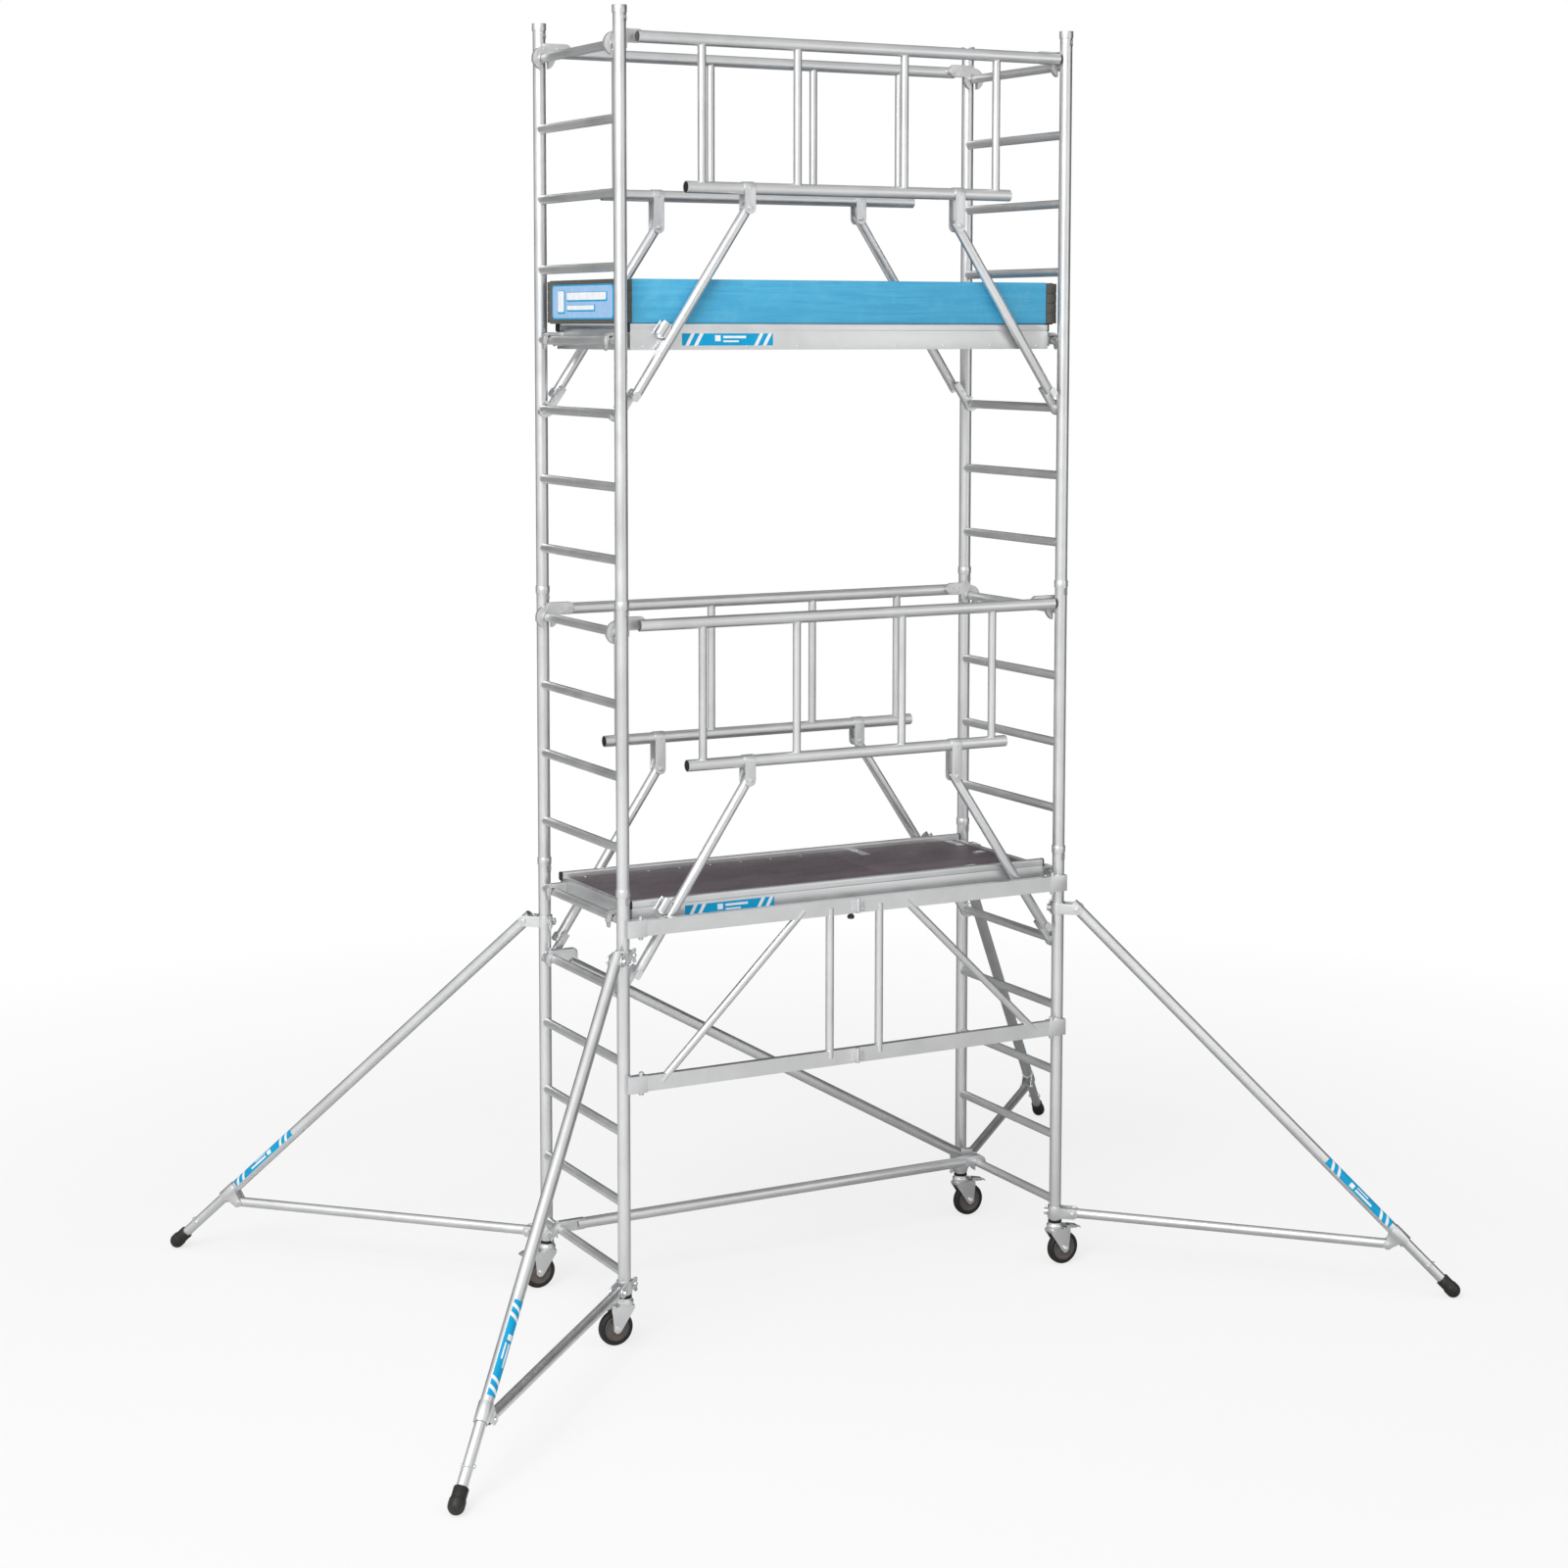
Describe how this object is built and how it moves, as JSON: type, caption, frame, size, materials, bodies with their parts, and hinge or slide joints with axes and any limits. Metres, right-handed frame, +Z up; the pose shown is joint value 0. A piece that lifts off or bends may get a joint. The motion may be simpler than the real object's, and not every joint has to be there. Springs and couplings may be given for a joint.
{
  "type": "mobile tower scaffold",
  "caption": "Mobile aluminium tower scaffold on braked castors: two plywood decks with trapdoors, guardrail frames, toe boards and outrigger stabilisers.",
  "frame": {"origin": "middle of the footprint, on the floor", "axes": "+X along the tower, +Y towards the back (the side with the rear braces), +Z up"},
  "size_m": [4.0239, 2.894, 4.625],
  "materials": {
    "aluminium": "satin extruded aluminium",
    "cast_aluminium": "matt cast aluminium",
    "zinc_steel": "zinc plated",
    "black_plastic": "moulded, matt",
    "wheel": "rubber tyre on a grey moulded core",
    "rubber_foot": "moulded rubber on an aluminium tube",
    "plywood": "phenolic coated plywood",
    "toe_board": "blue stained softwood"
  },
  "bodies": {
    "tower": {"base_frame_left": "aluminium", "middle_frame_left": "aluminium", "top_frame_left": "aluminium", "truss_left": "aluminium", "base_frame_right": "aluminium", "middle_frame_right": "aluminium", "top_frame_right": "aluminium", "truss_right": "aluminium", "socket_collars": "aluminium", "spring_clips": "zinc_steel", "castor_sockets": "black_plastic", "truss_fittings": "cast_aluminium", "deck_frame_lower": "aluminium", "deck_frame_upper": "aluminium", "deck_boards": "plywood", "deck_claws": "cast_aluminium", "plastic_caps": "black_plastic", "toe_boards": "toe_board", "toe_board_brackets": "cast_aluminium", "guardrail_front_lower": "aluminium", "guardrail_back_lower": "aluminium", "guardrail_front_upper": "aluminium", "guardrail_back_upper": "aluminium", "guardrail_claws": "cast_aluminium", "guardrail_brackets": "aluminium", "rear_braces": "aluminium"},
    "hatch_lower": {"hatch_lower": "plywood"},
    "hatch_upper": {"hatch_upper": "plywood"},
    "brace_front_left_lower": {"brace_front_left_lower": "aluminium"},
    "brace_front_right_lower": {"brace_front_right_lower": "aluminium"},
    "brace_back_left_lower": {"brace_back_left_lower": "aluminium"},
    "brace_back_right_lower": {"brace_back_right_lower": "aluminium"},
    "brace_front_left_upper": {"brace_front_left_upper": "aluminium"},
    "brace_front_right_upper": {"brace_front_right_upper": "aluminium"},
    "brace_back_left_upper": {"brace_back_left_upper": "aluminium"},
    "brace_back_right_upper": {"brace_back_right_upper": "aluminium"},
    "castor_front_left": {"castor_fork_front_left": "zinc_steel"},
    "wheel_front_left": {"castor_wheel_front_left": "wheel"},
    "pedal_front_left": {"castor_pedal_front_left": "zinc_steel"},
    "stabiliser_front_left": {"stabiliser_tubes_front_left": "aluminium", "stabiliser_fittings_front_left": "cast_aluminium"},
    "foot_front_left": {"stabiliser_foot_front_left": "rubber_foot"},
    "castor_front_right": {"castor_fork_front_right": "zinc_steel"},
    "wheel_front_right": {"castor_wheel_front_right": "wheel"},
    "pedal_front_right": {"castor_pedal_front_right": "zinc_steel"},
    "stabiliser_front_right": {"stabiliser_tubes_front_right": "aluminium", "stabiliser_fittings_front_right": "cast_aluminium"},
    "foot_front_right": {"stabiliser_foot_front_right": "rubber_foot"},
    "castor_back_left": {"castor_fork_back_left": "zinc_steel"},
    "wheel_back_left": {"castor_wheel_back_left": "wheel"},
    "pedal_back_left": {"castor_pedal_back_left": "zinc_steel"},
    "stabiliser_back_left": {"stabiliser_tubes_back_left": "aluminium", "stabiliser_fittings_back_left": "cast_aluminium"},
    "foot_back_left": {"stabiliser_foot_back_left": "rubber_foot"},
    "castor_back_right": {"castor_fork_back_right": "zinc_steel"},
    "wheel_back_right": {"castor_wheel_back_right": "wheel"},
    "pedal_back_right": {"castor_pedal_back_right": "zinc_steel"},
    "stabiliser_back_right": {"stabiliser_tubes_back_right": "aluminium", "stabiliser_fittings_back_right": "cast_aluminium"},
    "foot_back_right": {"stabiliser_foot_back_right": "rubber_foot"}
  },
  "joints": [
    {"name": "hatch_lower_hinge", "type": "hinge", "parent": "tower", "child": "hatch_lower", "pos_m": [0.531, 0.282, 1.538], "axis": [-1, 0, 0], "range_deg": [0, 88]},
    {"name": "hatch_upper_hinge", "type": "hinge", "parent": "tower", "child": "hatch_upper", "pos_m": [0.531, 0.282, 3.538], "axis": [-1, 0, 0], "range_deg": [0, 88]},
    {"name": "brace_front_left_lower_pivot", "type": "hinge", "parent": "tower", "child": "brace_front_left_lower", "pos_m": [-0.412, -0.335, 1.957], "axis": [0, -1, 0], "range_deg": [0, 45]},
    {"name": "brace_front_right_lower_pivot", "type": "hinge", "parent": "tower", "child": "brace_front_right_lower", "pos_m": [0.44, -0.335, 1.909], "axis": [0, 1, 0], "range_deg": [0, 45]},
    {"name": "brace_back_left_lower_pivot", "type": "hinge", "parent": "tower", "child": "brace_back_left_lower", "pos_m": [-0.44, 0.335, 1.909], "axis": [0, -1, 0], "range_deg": [0, 45]},
    {"name": "brace_back_right_lower_pivot", "type": "hinge", "parent": "tower", "child": "brace_back_right_lower", "pos_m": [0.412, 0.335, 1.957], "axis": [0, 1, 0], "range_deg": [0, 45]},
    {"name": "brace_front_left_upper_pivot", "type": "hinge", "parent": "tower", "child": "brace_front_left_upper", "pos_m": [-0.412, -0.335, 3.957], "axis": [0, -1, 0], "range_deg": [0, 45]},
    {"name": "brace_front_right_upper_pivot", "type": "hinge", "parent": "tower", "child": "brace_front_right_upper", "pos_m": [0.44, -0.335, 3.909], "axis": [0, 1, 0], "range_deg": [0, 45]},
    {"name": "brace_back_left_upper_pivot", "type": "hinge", "parent": "tower", "child": "brace_back_left_upper", "pos_m": [-0.44, 0.335, 3.909], "axis": [0, -1, 0], "range_deg": [0, 45]},
    {"name": "brace_back_right_upper_pivot", "type": "hinge", "parent": "tower", "child": "brace_back_right_upper", "pos_m": [0.412, 0.335, 3.957], "axis": [0, 1, 0], "range_deg": [0, 45]},
    {"name": "castor_front_left_swivel", "type": "hinge", "parent": "tower", "child": "castor_front_left", "pos_m": [-0.9, -0.34, 0.152], "axis": [0, 0, 1], "continuous": true},
    {"name": "wheel_front_left_spin", "type": "hinge", "parent": "castor_front_left", "child": "wheel_front_left", "pos_m": [-0.935, -0.34, 0.0625], "axis": [0, 1, 0], "continuous": true},
    {"name": "pedal_front_left_tip", "type": "hinge", "parent": "castor_front_left", "child": "pedal_front_left", "pos_m": [-0.948, -0.34, 0.141], "axis": [0, -1, 0], "range_deg": [0, 9]},
    {"name": "stabiliser_front_left_swing", "type": "hinge", "parent": "tower", "child": "stabiliser_front_left", "pos_m": [-0.9, -0.34, 0.8], "axis": [0, 0, 1], "range_deg": [-30, 30]},
    {"name": "foot_front_left_slide", "type": "slide", "parent": "stabiliser_front_left", "child": "foot_front_left", "axis": [-0.5111, -0.5207, -0.6838], "range_m": [-0.095, 0]},
    {"name": "castor_front_right_swivel", "type": "hinge", "parent": "tower", "child": "castor_front_right", "pos_m": [0.9, -0.34, 0.152], "axis": [0, 0, 1], "continuous": true},
    {"name": "wheel_front_right_spin", "type": "hinge", "parent": "castor_front_right", "child": "wheel_front_right", "pos_m": [0.935, -0.34, 0.0625], "axis": [0, 1, 0], "continuous": true},
    {"name": "pedal_front_right_tip", "type": "hinge", "parent": "castor_front_right", "child": "pedal_front_right", "pos_m": [0.948, -0.34, 0.141], "axis": [0, 1, 0], "range_deg": [0, 9]},
    {"name": "stabiliser_front_right_swing", "type": "hinge", "parent": "tower", "child": "stabiliser_front_right", "pos_m": [0.9, -0.34, 0.8], "axis": [0, 0, 1], "range_deg": [-30, 30]},
    {"name": "foot_front_right_slide", "type": "slide", "parent": "stabiliser_front_right", "child": "foot_front_right", "axis": [0.5298, -0.4883, -0.6935], "range_m": [-0.095, 0]},
    {"name": "castor_back_left_swivel", "type": "hinge", "parent": "tower", "child": "castor_back_left", "pos_m": [-0.9, 0.34, 0.152], "axis": [0, 0, 1], "continuous": true},
    {"name": "wheel_back_left_spin", "type": "hinge", "parent": "castor_back_left", "child": "wheel_back_left", "pos_m": [-0.935, 0.34, 0.0625], "axis": [0, 1, 0], "continuous": true},
    {"name": "pedal_back_left_tip", "type": "hinge", "parent": "castor_back_left", "child": "pedal_back_left", "pos_m": [-0.948, 0.34, 0.141], "axis": [0, -1, 0], "range_deg": [0, 9]},
    {"name": "stabiliser_back_left_swing", "type": "hinge", "parent": "tower", "child": "stabiliser_back_left", "pos_m": [-0.9, 0.34, 0.8], "axis": [0, 0, 1], "range_deg": [-30, 30]},
    {"name": "foot_back_left_slide", "type": "slide", "parent": "stabiliser_back_left", "child": "foot_back_left", "axis": [-0.5201, 0.5177, -0.6794], "range_m": [-0.095, 0]},
    {"name": "castor_back_right_swivel", "type": "hinge", "parent": "tower", "child": "castor_back_right", "pos_m": [0.9, 0.34, 0.152], "axis": [0, 0, 1], "continuous": true},
    {"name": "wheel_back_right_spin", "type": "hinge", "parent": "castor_back_right", "child": "wheel_back_right", "pos_m": [0.935, 0.34, 0.0625], "axis": [0, 1, 0], "continuous": true},
    {"name": "pedal_back_right_tip", "type": "hinge", "parent": "castor_back_right", "child": "pedal_back_right", "pos_m": [0.948, 0.34, 0.141], "axis": [0, 1, 0], "range_deg": [0, 9]},
    {"name": "stabiliser_back_right_swing", "type": "hinge", "parent": "tower", "child": "stabiliser_back_right", "pos_m": [0.9, 0.34, 0.8], "axis": [0, 0, 1], "range_deg": [-30, 30]},
    {"name": "foot_back_right_slide", "type": "slide", "parent": "stabiliser_back_right", "child": "foot_back_right", "axis": [0.5189, 0.5165, -0.6812], "range_m": [-0.095, 0]}
  ]
}
